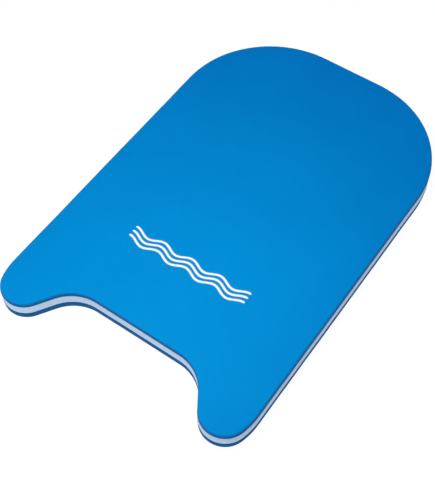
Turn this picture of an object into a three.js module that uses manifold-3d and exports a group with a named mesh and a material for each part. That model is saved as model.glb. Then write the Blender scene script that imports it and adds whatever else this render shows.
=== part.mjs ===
// Kickboard float for swimming: three foam sheets laminated face to face and cut to one outline,
// with a notched tail and a wave mark printed on the deck.
//
// Millimetres. The origin is the centre of the underside, +Y points to the nose and +Z is up
// through the deck.

import * as THREE from 'three';
import { mergeVertices } from 'three/addons/utils/BufferGeometryUtils.js';
import Module from 'manifold-3d';

const wasm = await Module();
wasm.setup();

// The board's overall size.
const LENGTH = 460;
const WIDTH = 300;

// The laminate: three foam sheets with a bond between each two.
const BOTTOM_SHEET = 9.5;
const CORE_SHEET = 11;
const TOP_SHEET = 6;
const BOND_FILM = 0.25;
const THICKNESS = BOTTOM_SHEET + CORE_SHEET + TOP_SHEET + 2 * BOND_FILM;

// The outline. The nose has a straight front between two round corners. Each side runs straight
// to a shallow shoulder, which turns into the round lobe beside the tail's notch.
const NOSE_RADIUS = 114;
const SHOULDER_RADIUS = 78;
const SHOULDER_TURN = 16;
const LOBE_RADIUS = 26;
const LOBE_TURN = 147;
const NOTCH_RADIUS = 45;
const NOTCH_DEPTH = 50;
const ARC_STEP = 4;

// The softened rim of the deck and of the underside.
const RIM_RADIUS = 2.5;
const RIM_STEPS = 3;

// The print: three parallel wave lines across the board, towards the tail.
const PRINT_FILM = 0.25;
const PRINT_LENGTH = 144;
const PRINT_FROM_TAIL = 135;
const WAVE_LINES = 3;
const WAVE_PITCH = 6;
const WAVE_CRESTS = 4;
const WAVE_AMPLITUDE = 2.9;
const WAVE_STROKE = 3;
const WAVE_STEPS = 40;
const CAP_STEPS = 6;

const blueFoam = new THREE.MeshStandardMaterial({ color: 0x0089d0, roughness: 0.8, metalness: 0 });
const whiteFoam = new THREE.MeshStandardMaterial({ color: 0xe8eef4, roughness: 0.85, metalness: 0 });
const adhesive = new THREE.MeshStandardMaterial({ color: 0xb9cbd9, roughness: 0.5, metalness: 0 });
const whiteInk = new THREE.MeshStandardMaterial({ color: 0xf4f8fb, roughness: 0.45, metalness: 0 });

// The point at an angle in degrees on a circle.
function onCircle(centre, radius, degrees) {
  const angle = THREE.MathUtils.degToRad(degrees);
  const arm = new THREE.Vector2(Math.cos(angle), Math.sin(angle));
  return arm.multiplyScalar(radius).add(centre);
}

// Points along an arc, one about every ARC_STEP degrees, with both ends.
function arcPoints(centre, radius, start, end) {
  const steps = Math.ceil(Math.abs(end - start) / ARC_STEP);
  return Array.from({ length: steps + 1 }, (_, i) =>
    onCircle(centre, radius, THREE.MathUtils.lerp(start, end, i / steps)));
}

// The right half of the outline, clockwise from the nose's straight front to the notch's floor.
function rightHalf() {
  const tail = -LENGTH / 2;
  const turn = THREE.MathUtils.degToRad(SHOULDER_TURN);
  const drop = (SHOULDER_RADIUS - LOBE_RADIUS) * Math.sin(turn);
  const nose = new THREE.Vector2(WIDTH / 2 - NOSE_RADIUS, LENGTH / 2 - NOSE_RADIUS);
  const shoulder = new THREE.Vector2(WIDTH / 2 - SHOULDER_RADIUS, tail + LOBE_RADIUS + drop);
  const lobe = onCircle(shoulder, SHOULDER_RADIUS - LOBE_RADIUS, -SHOULDER_TURN);

  // The lobe and the notch's corner share a slanted tangent. Its normal leaves the lobe at
  // LOBE_TURN, and the corner's centre lies beyond it, below the notch's floor.
  const normal = onCircle(new THREE.Vector2(), 1, -LOBE_TURN);
  const cornerY = tail + NOTCH_DEPTH - NOTCH_RADIUS;
  const reach = LOBE_RADIUS + NOTCH_RADIUS - (cornerY - lobe.y) * normal.y;
  const corner = new THREE.Vector2(lobe.x + reach / normal.x, cornerY);

  return [
    ...arcPoints(nose, NOSE_RADIUS, 90, 0),
    ...arcPoints(shoulder, SHOULDER_RADIUS, 0, -SHOULDER_TURN),
    ...arcPoints(lobe, LOBE_RADIUS, -SHOULDER_TURN, -90).slice(1),
    ...arcPoints(lobe, LOBE_RADIUS, -90, -LOBE_TURN).slice(1),
    ...arcPoints(corner, NOTCH_RADIUS, 180 - LOBE_TURN, 90),
  ];
}

function boardOutline() {
  const right = rightHalf();
  const left = right.map((p) => new THREE.Vector2(-p.x, p.y)).reverse();
  return new THREE.Shape([...right, ...left]);
}

// One wave line as a stroke with round ends, centred on x = 0. It starts and ends on a crest,
// so its ends are level.
function waveOutline() {
  const half = WAVE_STROKE / 2;
  const span = PRINT_LENGTH - WAVE_STROKE;
  const wavenumber = 2 * Math.PI * WAVE_CRESTS / span;
  const upper = [];
  const lower = [];
  for (let i = 0; i <= WAVE_STEPS; i++) {
    const x = span * (i / WAVE_STEPS - 0.5);
    const spot = new THREE.Vector2(x, WAVE_AMPLITUDE * Math.cos(wavenumber * x));
    const slope = -WAVE_AMPLITUDE * wavenumber * Math.sin(wavenumber * x);
    const across = new THREE.Vector2(-slope, 1).setLength(half);
    upper.push(spot.clone().add(across));
    lower.unshift(spot.clone().sub(across));
  }
  const cap = (x, start) => Array.from({ length: CAP_STEPS - 1 }, (_, i) =>
    onCircle(new THREE.Vector2(x, WAVE_AMPLITUDE), half, start - 180 * (i + 1) / CAP_STEPS));
  return new THREE.Shape([...upper, ...cap(span / 2, 90), ...lower, ...cap(-span / 2, -90)]);
}

// A geometry as a manifold-3d solid, with its shared vertices merged.
function solidOf(geometry) {
  const bare = geometry.clone();
  bare.deleteAttribute('normal');
  bare.deleteAttribute('uv');
  const merged = mergeVertices(bare);
  return new wasm.Manifold(new wasm.Mesh({
    numProp: 3,
    vertProperties: merged.attributes.position.array,
    triVerts: new Uint32Array(merged.index.array),
  }));
}

function geometryOf(solid) {
  const { vertProperties, triVerts } = solid.getMesh();
  const geometry = new THREE.BufferGeometry();
  geometry.setAttribute('position', new THREE.BufferAttribute(vertProperties, 3));
  geometry.setIndex(new THREE.BufferAttribute(triVerts, 1));
  geometry.computeVertexNormals();
  return geometry;
}

// The whole board before it is told apart into sheets, with both rims rounded.
function blank() {
  const geometry = new THREE.ExtrudeGeometry(boardOutline(), {
    depth: THICKNESS - 2 * RIM_RADIUS,
    bevelThickness: RIM_RADIUS,
    bevelSize: RIM_RADIUS,
    bevelOffset: -RIM_RADIUS,
    bevelSegments: RIM_STEPS,
  });
  geometry.translate(0, 0, RIM_RADIUS);
  return solidOf(geometry);
}

// One layer of the laminate: the blank between two levels. The cutting slab passes the blank's
// own faces wherever the layer ends on one.
function layer(name, low, high, material) {
  const bottom = low > 0 ? low : -THICKNESS;
  const top = high < THICKNESS ? high : 2 * THICKNESS;
  const slab = new THREE.BoxGeometry(2 * WIDTH, 2 * LENGTH, top - bottom);
  slab.translate(0, 0, (top + bottom) / 2);
  const mesh = new THREE.Mesh(geometryOf(blank().intersect(solidOf(slab))), material);
  mesh.name = name;
  return mesh;
}

function laminate() {
  const plies = [
    ['bottom_sheet', BOTTOM_SHEET, blueFoam],
    ['lower_bond_film', BOND_FILM, adhesive],
    ['core_sheet', CORE_SHEET, whiteFoam],
    ['upper_bond_film', BOND_FILM, adhesive],
    ['top_sheet', TOP_SHEET, blueFoam],
  ];
  let level = 0;
  return plies.map(([name, thickness, material]) => {
    const mesh = layer(name, level, level + thickness, material);
    level += thickness;
    return mesh;
  });
}

function wavePrints() {
  return Array.from({ length: WAVE_LINES }, (_, i) => {
    const geometry = new THREE.ExtrudeGeometry(waveOutline(), {
      depth: PRINT_FILM,
      bevelEnabled: false,
    });
    const mesh = new THREE.Mesh(geometry, whiteInk);
    const across = WAVE_PITCH * (i - (WAVE_LINES - 1) / 2);
    mesh.name = `wave_print_${i + 1}`;
    mesh.position.set(0, PRINT_FROM_TAIL - LENGTH / 2 + across, THICKNESS);
    return mesh;
  });
}

const board = new THREE.Group();
board.name = 'kickboard';
board.add(...laminate(), ...wavePrints());

export default board;
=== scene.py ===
import math

import bpy
import numpy as np
from mathutils import Matrix, Vector, geometry, noise

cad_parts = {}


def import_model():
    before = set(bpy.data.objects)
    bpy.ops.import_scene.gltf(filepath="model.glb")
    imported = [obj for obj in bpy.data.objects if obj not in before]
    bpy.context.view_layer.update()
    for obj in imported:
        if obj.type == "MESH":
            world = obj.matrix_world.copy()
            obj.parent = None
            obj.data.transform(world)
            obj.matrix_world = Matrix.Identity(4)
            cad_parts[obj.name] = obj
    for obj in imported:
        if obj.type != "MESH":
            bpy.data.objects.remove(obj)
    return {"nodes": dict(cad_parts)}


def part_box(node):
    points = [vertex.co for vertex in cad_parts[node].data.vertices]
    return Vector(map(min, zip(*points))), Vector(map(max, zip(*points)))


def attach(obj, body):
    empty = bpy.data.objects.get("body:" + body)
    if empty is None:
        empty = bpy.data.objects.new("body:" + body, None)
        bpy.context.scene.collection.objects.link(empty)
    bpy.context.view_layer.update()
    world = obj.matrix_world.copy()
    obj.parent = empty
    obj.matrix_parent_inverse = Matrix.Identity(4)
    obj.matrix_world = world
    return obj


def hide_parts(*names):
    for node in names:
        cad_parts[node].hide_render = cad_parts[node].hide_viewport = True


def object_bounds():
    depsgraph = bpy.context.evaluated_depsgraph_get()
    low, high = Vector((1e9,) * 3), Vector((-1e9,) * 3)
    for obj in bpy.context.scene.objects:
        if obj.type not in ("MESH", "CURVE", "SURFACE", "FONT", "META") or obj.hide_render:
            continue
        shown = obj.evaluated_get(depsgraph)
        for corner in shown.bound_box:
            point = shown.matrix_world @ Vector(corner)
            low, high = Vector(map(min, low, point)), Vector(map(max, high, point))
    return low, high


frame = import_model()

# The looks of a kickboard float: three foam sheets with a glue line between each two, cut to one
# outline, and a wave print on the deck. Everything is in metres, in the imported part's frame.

MM = 0.001
cad_low, cad_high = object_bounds()

# Outline
ARC_CHORD = 12 * MM          # a longer side of the CAD outline is straight, a shorter one an arc's chord
RING_STEP = 1.2 * MM         # spacing of the fine outline's points

# Foam sheets
RIM_RADIUS = 2.5 * MM        # rounding of the rims of the deck and the underside
RIM_STEPS = 7
PLY_EDGE = 0.3 * MM          # softened edge where a sheet meets a glue line
PLY_INNER = 6 * PLY_EDGE     # inset of the ring where a sheet's hidden face starts
PLY_BULGE = 0.22 * MM        # how far a cut edge swells between its two edges
WALL_STEPS = 6
FACE_RINGS = (1.2 * MM, 3.2 * MM, 6.5 * MM)
FACE_GRID = 3 * MM           # spacing of the points inside a face that shows
HIDDEN_GRID = 20 * MM        # the same inside the laminate
HIDDEN_FACE = (HIDDEN_GRID, None)
GRID_ROW = math.sqrt(0.75)   # distance between a triangular grid's rows, over its spacing
GRID_CLEAR = 0.6             # a grid's points keep this share of FACE_GRID, at most, from the ring
FACE_EASE = 0.25 * MM        # how far a face sinks towards its rim
FACE_EASE_WIDTH = 9 * MM
FACE_WAVE = 0.14 * MM        # height of the slow waves in a face
FACE_WAVE_LENGTH = 75 * MM
CUT_WAVE = 0.16 * MM         # sideways wander of the cut
CUT_WAVE_LENGTH = 38 * MM
CUT_GRAIN = 0.05 * MM        # fine unevenness of the cut
CUT_GRAIN_LENGTH = 3.5 * MM
CUT_WAVE_SEED, CUT_GRAIN_SEED = 3, 8
BOND_INSET = 0.35 * MM       # how far a glue line lies behind the cut
UNDERSIDE_SEED, DECK_SEED = 21, 22   # for the slow waves in the two faces that show
FACE, RIM, CUT = range(3)    # the kinds of surface along a sheet's profile
SAME_LEVEL = 1e-7            # vertices closer than this in height lie in one face
BLOCK = 1000                 # points whose distances are worked out at once

# Wave print
WAVES = 4                    # whole waves, from a crest at one end to a crest at the other
WAVE_STROKE = 3 * MM
WAVE_STEP = 0.6 * MM
WAVE_CAP_STEPS = 8
WAVE_TIP = 0.999             # share of a cap's reach where the film ends, just short of a point
FILM_LIFT = 0.12 * MM        # how far the film's middle stands out of the deck
FILM_SINK = 0.15 * MM        # how far its edges run under the deck, and half of how far its back does
FILM_CROWN = 6               # the film thins as this power of the distance from its middle
FILM_ACROSS = 9              # points across the film

# Materials. The scale of a texture is in features to the metre.
NOISE_RANGE = (0.3, 0.7)     # where most values of a noise texture lie
DRIFT_SCALE = 14
SPECKS_TO_CELL = 0.8         # specks in the length of a cell
CELL_STRENGTH = 0.8
LEATHER_DEPTH = 0.5 * MM
LEATHER_STRENGTH = 0.6
FINE_STRENGTH = 0.5          # of the bumps in glue and in ink
ROUGHNESS_SPREAD = 0.06
GLUE_BEAD_SCALE = 420
GLUE_BEAD_DEPTH = 0.1 * MM
GLUE_SHADES = ((0.30, 0.42, 0.55), (0.48, 0.58, 0.70))
GLUE_ROUGHNESS = (0.3, 0.5)
INK_MOTTLE_SCALE = 900
INK_CELL_SCALE = 1500
INK_CELL_DEPTH = 0.06 * MM
INK_THIN = (0.3, 0.6)        # the values of the mottle where ink is thinnest and is whole
INK_SHADES = ((0.84, 0.88, 0.92), (0.97, 0.98, 0.99))
INK_ROUGHNESS = (0.5, 0.36)
BLUE_TINT = (0.08, 0.5, 1.0)
WHITE_TINT = (1, 1, 1)
CUT_AND_SHADE_TO_SKIN = (0.35, 0.985)    # the upright share of the normal where the edge colour, partly painted shade, gives way to the skin and where the skin is whole

# Studio
FLOOR_SIZE = 16.0
FLOOR_GAP = 0.3 * MM         # between the underside and the floor
FLOOR_COLOUR = (0.20, 0.19, 0.17)
FLOOR_GLOW = 0.92
BACKDROP_RADIUS = 7.0
BACKDROP_HEIGHT = 5.0
BACKDROP_SIDES = 64
BACKDROP_GLOW = 1.0


# ---------------------------------------------------------------- outline

def unit(vectors):
    return vectors / np.linalg.norm(vectors, axis=1)[:, None]


def cad_outline(node):
    """The corners of a CAD sheet's outline in plan, anticlockwise. All of them are in sight of
    the board's centre, so their bearings put them in order."""
    points = np.array([v.co[:2] for v in frame["nodes"][node].data.vertices])
    corners = np.unique(points.round(6), axis=0)
    return corners[np.argsort(np.arctan2(corners[:, 1], corners[:, 0]))]


def smooth_ring(corners, step):
    """Points about a step apart along the outline, with each arc round again: a Hermite curve
    runs between two corners, along the outline's direction at both."""
    chords = np.roll(corners, -1, 0) - corners
    lengths = np.linalg.norm(chords, axis=1)
    heading = unit(chords)
    behind = np.roll(heading, 1, 0)
    tangent = unit(heading + behind)
    straight = lengths > ARC_CHORD
    tangent[straight] = heading[straight]
    after_straight = np.roll(straight, 1)
    tangent[after_straight] = behind[after_straight]
    ring = []
    for i, length in enumerate(lengths):
        j = (i + 1) % len(corners)
        count = max(1, round(length / step))
        t = (np.arange(count) / count)[:, None]
        start, end = corners[i], corners[j]
        leave, arrive = tangent[i] * length, tangent[j] * length
        ring.append(
            (2 * t**3 - 3 * t**2 + 1) * start
            + (t**3 - 2 * t**2 + t) * leave
            + (3 * t**2 - 2 * t**3) * end
            + (t**3 - t**2) * arrive
        )
    return np.concatenate(ring)


def outward(ring):
    """Unit vectors that point away from the board at each point of an anticlockwise ring."""
    along = unit(np.roll(ring, -1, 0) - np.roll(ring, 1, 0))
    return np.stack([along[:, 1], -along[:, 0]], axis=1)


RING = smooth_ring(cad_outline("core_sheet"), RING_STEP)
RING_OUT = outward(RING)


def ring_at(inset):
    return RING - RING_OUT * inset


# ---------------------------------------------------------------- unevenness of the foam

def smooth_noise(point, wavelength, seed):
    """Smooth noise from -1 to 1 that changes over about a wavelength."""
    x, y, z = (c / wavelength for c in point)
    return noise.noise(Vector((x + seed, y - seed, z + 0.5 * seed)))


def ring_distance(points, ring):
    """How far each point in plan lies from the nearest point of a ring."""
    blocks = np.array_split(points, max(1, len(points) // BLOCK))
    return np.concatenate([
        np.sqrt(((block[:, None] - ring[None]) ** 2).sum(2).min(1)) for block in blocks
    ])


def face_relief(points, seed):
    """How far a face stands out of its plane: slow waves, which die away near the outline while
    the face sinks a little."""
    ease = np.clip(1 - ring_distance(points, RING) / FACE_EASE_WIDTH, 0, 1) ** 2
    waves = np.array([smooth_noise((x, y, 0), FACE_WAVE_LENGTH, seed) for x, y in points])
    return FACE_WAVE * waves * (1 - ease) - FACE_EASE * ease


def cut_relief(points):
    """How far the cut edge stands out at each point: a slow wander that all sheets share, since
    one blade cut them together, and a fine grain."""
    wander = np.array([
        smooth_noise((x, y, 0), CUT_WAVE_LENGTH, CUT_WAVE_SEED) for x, y, _ in points
    ])
    grain = np.array([smooth_noise(p, CUT_GRAIN_LENGTH, CUT_GRAIN_SEED) for p in points])
    return CUT_WAVE * wander + CUT_GRAIN * grain


# ---------------------------------------------------------------- meshes

def inside(points, ring):
    """Which points lie inside a ring, by the crossings of a line to the right."""
    x, y = points[:, 0][:, None], points[:, 1][:, None]
    ax, ay = ring[:, 0], ring[:, 1]
    bx, by = np.roll(ax, -1), np.roll(ay, -1)
    spans = (ay > y) != (by > y)
    rise = np.where(by == ay, 1, by - ay)
    return ((spans & (x < ax + (y - ay) * (bx - ax) / rise)).sum(1) % 2).astype(bool)


def fill(ring, spacing):
    """Points spread inside a ring on a triangular grid, and triangles that join them and the
    ring. The triangles count the ring's points first."""
    low, high = ring.min(0), ring.max(0)
    rows = np.arange(low[1] + spacing / 2, high[1], spacing * GRID_ROW)
    grid = np.array([
        (x + (k % 2) * spacing / 2, y)
        for k, y in enumerate(rows)
        for x in np.arange(low[0] + spacing / 2, high[0], spacing)
    ])
    grid = grid[inside(grid, ring)]
    grid = grid[ring_distance(grid, ring) > GRID_CLEAR * min(spacing, FACE_GRID)]
    points = np.concatenate([ring, grid])
    edges = [(i, (i + 1) % len(ring)) for i in range(len(ring))]
    found = geometry.delaunay_2d_cdt([Vector(p) for p in points], edges, [], 1, 1e-9)
    origin = [ids[0] for ids in found[3]]
    return grid, np.array([[origin[i] for i in face] for face in found[2]])


def new_object(name, vertices, faces, materials, indices):
    mesh = bpy.data.meshes.new(name)
    mesh.from_pydata([tuple(v) for v in vertices], [], [tuple(map(int, f)) for f in faces])
    for material in materials:
        mesh.materials.append(material)
    mesh.polygons.foreach_set("material_index", np.array(indices, np.int32))
    mesh.polygons.foreach_set("use_smooth", np.ones(len(mesh.polygons), bool))
    mesh.update()
    made = bpy.data.objects.new(name, mesh)
    bpy.context.scene.collection.objects.link(made)
    return made


def swept(profile):
    """The outline swept through a profile of (inset, height, surface). Gives the vertices, the
    faces, and for each face 1 where it is cut and 0 where it isn't."""
    count = len(RING)
    around = np.arange(count)
    after = (around + 1) % count
    rings, faces, is_cut = [], [], []
    for inset, height, surface in profile:
        ring = np.column_stack([ring_at(inset), np.full(count, height)])
        if surface != FACE:
            ring[:, :2] += RING_OUT * cut_relief(ring)[:, None]
        rings.append(ring)
    for k in range(len(profile) - 1):
        a, b = k * count, (k + 1) * count
        faces += np.column_stack([a + around, a + after, b + after, b + around]).tolist()
        is_cut += [int(CUT in (profile[k][2], profile[k + 1][2]))] * count
    return np.concatenate(rings), faces, is_cut


def lofted(name, profile, low_face, high_face, materials):
    """A closed piece: the outline swept through a profile, and a filled face at each end. A face
    is (grid spacing, seed of its relief or None). The second material is for the cut, and the
    first for everything else."""
    count = len(RING)
    vertices, faces, indices = swept(profile)
    for k, (spacing, seed), side in ((0, low_face, -1), (len(profile) - 1, high_face, 1)):
        level = profile[k][1]
        rim = k * count + np.arange(count)
        grid, triangles = fill(vertices[rim, :2], spacing)
        own = np.concatenate([rim, len(vertices) + np.arange(len(grid))])
        height = np.full((len(grid), 1), level)
        vertices = np.concatenate([vertices, np.column_stack([grid, height])])
        order = triangles if side > 0 else triangles[:, ::-1]
        faces += own[order].tolist()
        indices += [0] * len(triangles)
        if seed is not None:
            flat = np.abs(vertices[:, 2] - level) < SAME_LEVEL
            vertices[flat, 2] += side * face_relief(vertices[flat, :2], seed)
    return new_object(name, vertices, faces, materials, indices)


# ---------------------------------------------------------------- foam sheets and glue lines

def ply_edge(level, side):
    """The profile of a sheet's edge at a glue line. Side is 1 where the sheet lies above the
    line and -1 where it lies below, and the list runs from the line to the wall."""
    turns = [math.radians(a) for a in (0, 30, 60, 90)]
    inner = [(PLY_INNER, level, FACE)]
    return inner + [
        (PLY_EDGE * (1 - math.sin(a)), level + side * PLY_EDGE * (1 - math.cos(a)), CUT)
        for a in turns
    ]


def rim_edge(level, side):
    """The profile from the inside of a showing face, over its round rim, to the wall. Side is 1
    for the underside's rim, where the wall goes up, and -1 for the deck's."""
    turns = [math.pi / 2 * k / RIM_STEPS for k in range(RIM_STEPS + 1)]
    inner = [(RIM_RADIUS + inset, level, FACE) for inset in reversed(FACE_RINGS)]
    return inner + [
        (RIM_RADIUS * (1 - math.sin(a)), level + side * RIM_RADIUS * (1 - math.cos(a)),
         RIM if a > 0 else FACE)
        for a in turns
    ]


def wall(low, high):
    """The rest of the cut edge between two heights, swollen a little in the middle."""
    return [
        (-PLY_BULGE * math.sin(math.pi * k / WALL_STEPS), low + (high - low) * k / WALL_STEPS, CUT)
        for k in range(1, WALL_STEPS)
    ]


def foam_sheet(node, skin, cut, underside=False, deck=False):
    """A sheet of foam with a round rim on a face that shows, and a softened edge on the others."""
    low, high = (corner.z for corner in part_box(node))
    start = rim_edge(low, 1) if underside else ply_edge(low, 1)
    end = rim_edge(high, -1) if deck else ply_edge(high, -1)
    profile = start + wall(start[-1][1], end[-1][1]) + end[::-1]
    low_face = (FACE_GRID, UNDERSIDE_SEED) if underside else HIDDEN_FACE
    high_face = (FACE_GRID, DECK_SEED) if deck else HIDDEN_FACE
    piece = lofted(f"foam_{node}", profile, low_face, high_face, [skin, cut])
    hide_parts(node)
    return piece


def bond_film(node, glue):
    """A glue line, which lies a little behind the cut of the sheets."""
    low, high = (corner.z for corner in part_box(node))
    profile = [(BOND_INSET, low, CUT), (BOND_INSET, high, CUT)]
    piece = lofted(f"glue_{node}", profile, HIDDEN_FACE, HIDDEN_FACE, [glue, glue])
    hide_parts(node)
    return piece


# ---------------------------------------------------------------- wave print

def wave_places(span, half):
    """Places along a wave line of a given span between the centres of its round ends. They lie
    closer together towards the tips."""
    turned = [math.sin(math.pi / 2 * k / WAVE_CAP_STEPS) for k in range(1, WAVE_CAP_STEPS + 1)]
    caps = np.array(turned) * half * WAVE_TIP
    body = np.linspace(-span / 2, span / 2, round(span / WAVE_STEP) + 1)
    return np.concatenate([-span / 2 - caps[::-1], body, span / 2 + caps])


def wave_plan(low, high):
    """Points in plan on the wave line that fills a box, FILM_ACROSS of them across it at each
    place along it. The wave starts and ends on a crest."""
    middle = (low + high) / 2
    half = WAVE_STROKE / 2
    span = high.x - low.x - WAVE_STROKE
    height = (high.y - low.y - WAVE_STROKE) / 2
    turns = 2 * math.pi * WAVES / span
    plan = []
    for x in wave_places(span, half):
        past = max(0.0, abs(x) - span / 2)
        reach = math.sqrt(max(half**2 - past**2, 0))
        inner = max(-span / 2, min(span / 2, x))
        slope = -height * turns * math.sin(turns * inner)
        across = Vector((-slope, 1)).normalized()
        spot = Vector((middle.x + x, middle.y + height * math.cos(turns * inner)))
        plan += [(spot + across * reach * s)[:] for s in np.linspace(-1, 1, FILM_ACROSS)]
    return np.array(plan)


def film_faces(rows):
    """The faces of a closed film of so many rows of points, whose vertices are all of its top's
    and then all of its bottom's."""
    count = rows * FILM_ACROSS
    faces = []
    for k in range(rows - 1):
        for i in range(FILM_ACROSS - 1):
            a = k * FILM_ACROSS + i
            b, c, d = a + FILM_ACROSS, a + FILM_ACROSS + 1, a + 1
            faces += [(a, b, c, d), (count + a, count + d, count + c, count + b)]
        for a in (k * FILM_ACROSS, (k + 1) * FILM_ACROSS - 1):
            quad = (a, count + a, count + a + FILM_ACROSS, a + FILM_ACROSS)
            faces.append(quad if a % FILM_ACROSS == 0 else quad[::-1])
    for row, flip in ((0, False), (rows - 1, True)):
        for i in range(FILM_ACROSS - 1):
            a = row * FILM_ACROSS + i
            quad = (a, a + 1, count + a + 1, count + a)
            faces.append(quad[::-1] if flip else quad)
    return faces


def wave_film(node, ink):
    """One printed line: a thin film that follows the deck, thickest along its middle."""
    low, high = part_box(node)
    plan = wave_plan(low, high)
    rows = len(plan) // FILM_ACROSS
    deck = low.z + face_relief(plan, DECK_SEED)
    side = np.tile(np.linspace(-1, 1, FILM_ACROSS), rows)
    top = deck + FILM_LIFT * (1 - side**FILM_CROWN) - FILM_SINK * (np.abs(side) == 1)
    bottom = deck - 2 * FILM_SINK
    vertices = np.concatenate([np.column_stack([plan, top]), np.column_stack([plan, bottom])])
    faces = film_faces(rows)
    piece = new_object(f"ink_{node}", vertices, faces, [ink], [0] * len(faces))
    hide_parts(node)
    return piece


# ---------------------------------------------------------------- materials

def new_material(name):
    """A material with its nodes, its links and its shader node."""
    material = bpy.data.materials.new(name)
    material.use_nodes = True
    nodes = material.node_tree.nodes
    return material, nodes, material.node_tree.links, nodes["Principled BSDF"]


def noise_node(nodes, links, coordinates, scale, detail):
    made = nodes.new("ShaderNodeTexNoise")
    made.inputs["Scale"].default_value = scale
    made.inputs["Detail"].default_value = detail
    links.new(coordinates, made.inputs["Vector"])
    return made.outputs["Fac"]


def cell_node(nodes, links, coordinates, scale):
    made = nodes.new("ShaderNodeTexVoronoi")
    made.feature = "SMOOTH_F1"
    made.inputs["Scale"].default_value = scale
    links.new(coordinates, made.inputs["Vector"])
    return made.outputs["Distance"]


def mapped(nodes, links, value, low, high, to_low, to_high):
    """A value carried from one range to another and held at the ends of that."""
    made = nodes.new("ShaderNodeMapRange")
    ends = {"From Min": low, "From Max": high, "To Min": to_low, "To Max": to_high}
    for name, number in ends.items():
        made.inputs[name].default_value = number
    links.new(value, made.inputs["Value"])
    return made.outputs["Result"]


def math_node(nodes, links, operation, *values):
    made = nodes.new("ShaderNodeMath")
    made.operation = operation
    for value, socket in zip(values, made.inputs):
        links.new(value, socket)
    return made.outputs[0]


def colour_mix(nodes, links, factor, low, high):
    """A blend of two colours, each of them three numbers or the output of a node."""
    made = nodes.new("ShaderNodeMix")
    made.data_type = "RGBA"
    for name, colour in (("A", low), ("B", high)):
        if isinstance(colour, tuple):
            made.inputs[name].default_value = (*colour, 1)
        else:
            links.new(colour, made.inputs[name])
    links.new(factor, made.inputs["Factor"])
    return made.outputs["Result"]


def bump_node(nodes, links, height, distance, strength, under=None):
    made = nodes.new("ShaderNodeBump")
    made.inputs["Distance"].default_value = distance
    made.inputs["Strength"].default_value = strength
    links.new(height, made.inputs["Height"])
    if under is not None:
        links.new(under, made.inputs["Normal"])
    return made.outputs["Normal"]


def foam(name, light, dark, cell, cell_depth, grain, roughness, specular, tint, edge=None):
    """Closed-cell foam: a colour that drifts between two shades, cells of a given size in
    metres with painted shade towards their walls, and a coarser leathery grain under them. An
    edge colour takes over where the surface turns from level towards upright: partly the
    darker cut foam of a rim that the blade has passed, and partly painted shade that
    reaches nearly to the top of the rim."""
    material, nodes, links, shader = new_material(name)
    place = nodes.new("ShaderNodeTexCoord").outputs["Object"]
    drift = noise_node(nodes, links, place, DRIFT_SCALE, 3)
    speck = noise_node(nodes, links, place, SPECKS_TO_CELL / cell, 2)
    cells = cell_node(nodes, links, place, 1 / cell)

    # Each pattern's share of the blend, over the range of its values that counts. A cell is painted
    # lightest in its middle and darker towards its walls, painted shade that brings out the cells'
    # relief, so its range runs down.
    shares = [
        mapped(nodes, links, drift, *NOISE_RANGE, 0, 0.3),
        mapped(nodes, links, speck, 0.35, 0.65, 0, 0.3),
        mapped(nodes, links, cells, 0.6, 0.1, 0, 0.4),
    ]
    blend = shares[0]
    for share in shares[1:]:
        blend = math_node(nodes, links, "ADD", share, blend)
    colour = colour_mix(nodes, links, blend, dark, light)
    # The edge colour is partly the rim's darker cut foam and partly painted shade, which carries it
    # nearly up to where the rim meets the level deck.
    if edge is not None:
        normal = nodes.new("ShaderNodeSeparateXYZ")
        links.new(nodes.new("ShaderNodeTexCoord").outputs["Normal"], normal.inputs[0])
        level = math_node(nodes, links, "ABSOLUTE", normal.outputs["Z"])
        skin = mapped(nodes, links, level, *CUT_AND_SHADE_TO_SKIN, 0, 1)
        colour = colour_mix(nodes, links, skin, edge, colour)
    links.new(colour, shader.inputs["Base Color"])

    low, high = roughness - ROUGHNESS_SPREAD, roughness + ROUGHNESS_SPREAD
    rough = mapped(nodes, links, speck, *NOISE_RANGE, low, high)
    links.new(rough, shader.inputs["Roughness"])
    leather = noise_node(nodes, links, place, 1 / grain, 4)
    under = bump_node(nodes, links, leather, LEATHER_DEPTH, LEATHER_STRENGTH)
    over = bump_node(nodes, links, cells, cell_depth, CELL_STRENGTH, under)
    links.new(over, shader.inputs["Normal"])
    shader.inputs["Specular IOR Level"].default_value = specular
    shader.inputs["Specular Tint"].default_value = (*tint, 1)
    return material


def glue_material():
    """Dried adhesive, in fine beads of two shades."""
    material, nodes, links, shader = new_material("laminating_glue")
    place = nodes.new("ShaderNodeTexCoord").outputs["Object"]
    beads = noise_node(nodes, links, place, GLUE_BEAD_SCALE, 3)
    links.new(colour_mix(nodes, links, beads, *GLUE_SHADES), shader.inputs["Base Color"])
    rough = mapped(nodes, links, beads, *NOISE_RANGE, *GLUE_ROUGHNESS)
    links.new(rough, shader.inputs["Roughness"])
    bumps = bump_node(nodes, links, beads, GLUE_BEAD_DEPTH, FINE_STRENGTH)
    links.new(bumps, shader.inputs["Normal"])
    return material


def ink_material():
    """White ink, a little thin and rough in places, over the foam's cells."""
    material, nodes, links, shader = new_material("white_print_ink")
    place = nodes.new("ShaderNodeTexCoord").outputs["Object"]
    mottle = noise_node(nodes, links, place, INK_MOTTLE_SCALE, 3)
    cover = mapped(nodes, links, mottle, *INK_THIN, 0, 1)
    links.new(colour_mix(nodes, links, cover, *INK_SHADES), shader.inputs["Base Color"])
    rough = mapped(nodes, links, mottle, *NOISE_RANGE, *INK_ROUGHNESS)
    links.new(rough, shader.inputs["Roughness"])
    cells = cell_node(nodes, links, place, INK_CELL_SCALE)
    bumps = bump_node(nodes, links, cells, INK_CELL_DEPTH, FINE_STRENGTH)
    links.new(bumps, shader.inputs["Normal"])
    return material


# The skin's edge colour is partly the darker cut foam on its rims and partly painted shade over them.
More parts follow.
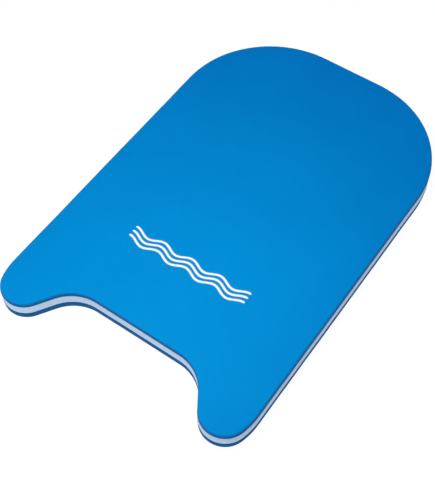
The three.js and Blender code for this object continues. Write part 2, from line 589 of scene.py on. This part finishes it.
blue_skin = foam(
    "blue_foam_skin", light=(0.0, 0.306, 0.750), dark=(0.0, 0.248, 0.640), cell=0.7 * MM,
    cell_depth=0.18 * MM, grain=3.5 * MM, roughness=0.62, specular=0.2, tint=BLUE_TINT,
    edge=(0.002, 0.122, 0.310),
)
blue_cut = foam(
    "blue_foam_cut", light=(0.010, 0.124, 0.292), dark=(0.002, 0.074, 0.182), cell=1.0 * MM,
    cell_depth=0.22 * MM, grain=2.2 * MM, roughness=0.78, specular=0.12, tint=BLUE_TINT,
)
white_cut = foam(
    "white_foam_cut", light=(0.60, 0.715, 0.805), dark=(0.41, 0.52, 0.61), cell=1.0 * MM,
    cell_depth=0.22 * MM, grain=2.2 * MM, roughness=0.75, specular=0.2, tint=WHITE_TINT,
)
glue = glue_material()
ink = ink_material()


# ---------------------------------------------------------------- the object

pieces = [
    (foam_sheet("bottom_sheet", blue_skin, blue_cut, underside=True), "blue_foam"),
    (foam_sheet("core_sheet", white_cut, white_cut), "white_foam"),
    (foam_sheet("top_sheet", blue_skin, blue_cut, deck=True), "blue_foam"),
    (bond_film("lower_bond_film", glue), "adhesive"),
    (bond_film("upper_bond_film", glue), "adhesive"),
]
for node in sorted(frame["nodes"]):
    if node.startswith("wave_print"):
        pieces.append((wave_film(node, ink), "white_ink"))
for piece, slot in pieces:
    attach(piece, "root")


# ---------------------------------------------------------------- floor, lights and camera

def stage_piece(name, vertices, faces, colour, glow):
    """A part of the studio, in a plain material that glows so that it stays pale."""
    mesh = bpy.data.meshes.new(name)
    mesh.from_pydata(vertices, [], faces)
    made = bpy.data.objects.new(name, mesh)
    bpy.context.scene.collection.objects.link(made)
    made.location.z = cad_low.z - FLOOR_GAP
    material, *_, shader = new_material(f"pale_{name}")
    shader.inputs["Base Color"].default_value = (*colour, 1)
    shader.inputs["Roughness"].default_value = 0.9
    shader.inputs["Specular IOR Level"].default_value = 0.0
    shader.inputs["Emission Color"].default_value = (1, 1, 1, 1)
    shader.inputs["Emission Strength"].default_value = glow
    mesh.materials.append(material)
    return made


def floor():
    size = FLOOR_SIZE / 2
    corners = [(-size, -size, 0), (size, -size, 0), (size, size, 0), (-size, size, 0)]
    stage_piece("floor", corners, [(0, 1, 2, 3)], FLOOR_COLOUR, FLOOR_GLOW)


def backdrop():
    """A pale wall all round the floor. It neither lights nor shades the board."""
    turns = [2 * math.pi * k / BACKDROP_SIDES for k in range(BACKDROP_SIDES)]
    foot = [(BACKDROP_RADIUS * math.cos(a), BACKDROP_RADIUS * math.sin(a), 0) for a in turns]
    head = [(x, y, BACKDROP_HEIGHT) for x, y, _ in foot]
    faces = []
    for k in range(BACKDROP_SIDES):
        after = (k + 1) % BACKDROP_SIDES
        faces.append((k, after, BACKDROP_SIDES + after, BACKDROP_SIDES + k))
    wall_round = stage_piece("backdrop", foot + head, faces, (0, 0, 0), BACKDROP_GLOW)
    wall_round.visible_diffuse = False
    wall_round.visible_glossy = False
    wall_round.visible_transmission = False
    wall_round.visible_shadow = False


def area_light(name, place, aim, size, power, colour):
    data = bpy.data.lights.new(name, "AREA")
    data.shape = "DISK"
    data.size = size
    data.energy = power
    data.color = colour
    made = bpy.data.objects.new(name, data)
    made.location = place
    made.rotation_euler = (Vector(aim) - Vector(place)).to_track_quat("-Z", "Y").to_euler()
    made.visible_camera = False
    bpy.context.scene.collection.objects.link(made)


def world(colour, front, lean):
    """A sky of one colour, brighter towards the front and darker behind by a share of itself.
    The level deck sees as much of one as of the other."""
    made = bpy.data.worlds.new("studio")
    made.use_nodes = True
    nodes, links = made.node_tree.nodes, made.node_tree.links
    background = nodes["Background"]
    background.inputs["Color"].default_value = (*colour, 1)
    towards = nodes.new("ShaderNodeVectorMath")
    towards.operation = "DOT_PRODUCT"
    links.new(nodes.new("ShaderNodeTexCoord").outputs["Generated"], towards.inputs[0])
    towards.inputs[1].default_value = front
    strength = mapped(nodes, links, towards.outputs["Value"], -1, 1, 1 - lean, 1 + lean)
    links.new(strength, background.inputs["Strength"])
    bpy.context.scene.world = made


CAMERA_AZIMUTH = math.radians(35.43)
CAMERA_ELEVATION = math.radians(56.49)
CAMERA_ROLL = math.radians(-0.49)
CAMERA_DISTANCE = 1.0837
CAMERA_AIM = (1.9 * MM, -45.1 * MM)
FOCAL_SHARE = 2.0718         # focal length over the picture's long side
SENSOR = 36.0


def camera():
    data = bpy.data.cameras.new("camera")
    data.sensor_width = SENSOR
    data.lens = SENSOR * FOCAL_SHARE
    made = bpy.data.objects.new("camera", data)
    a, e = CAMERA_AZIMUTH, CAMERA_ELEVATION
    back = Vector((math.sin(a) * math.cos(e), -math.cos(a) * math.cos(e), math.sin(e)))
    right = Vector((math.cos(a), math.sin(a), 0))
    up = back.cross(right)
    turn = Matrix.Rotation(CAMERA_ROLL, 3, back)
    right, up = turn @ right, turn @ up
    made.matrix_world = Matrix((right, up, back)).transposed().to_4x4()
    made.location = Vector((*CAMERA_AIM, cad_low.z)) + back * CAMERA_DISTANCE
    bpy.context.scene.collection.objects.link(made)
    bpy.context.scene.camera = made


floor()
backdrop()
world(colour=(0.29, 0.37, 0.57), front=(0.2, -0.98, 0), lean=0.8)
area_light(
    "key", place=(0, -0.155, 0.46), aim=(0, -0.155, 0), size=0.2, power=1.32,
    colour=(1, 0.93, 0.62),
)
area_light(
    "fill", place=(-0.13, -0.52, 0.14), aim=(-0.03, -0.19, 0), size=0.25, power=0.25,
    colour=(1, 0.96, 0.92),
)
camera()
bpy.context.scene.view_settings.view_transform = "Standard"
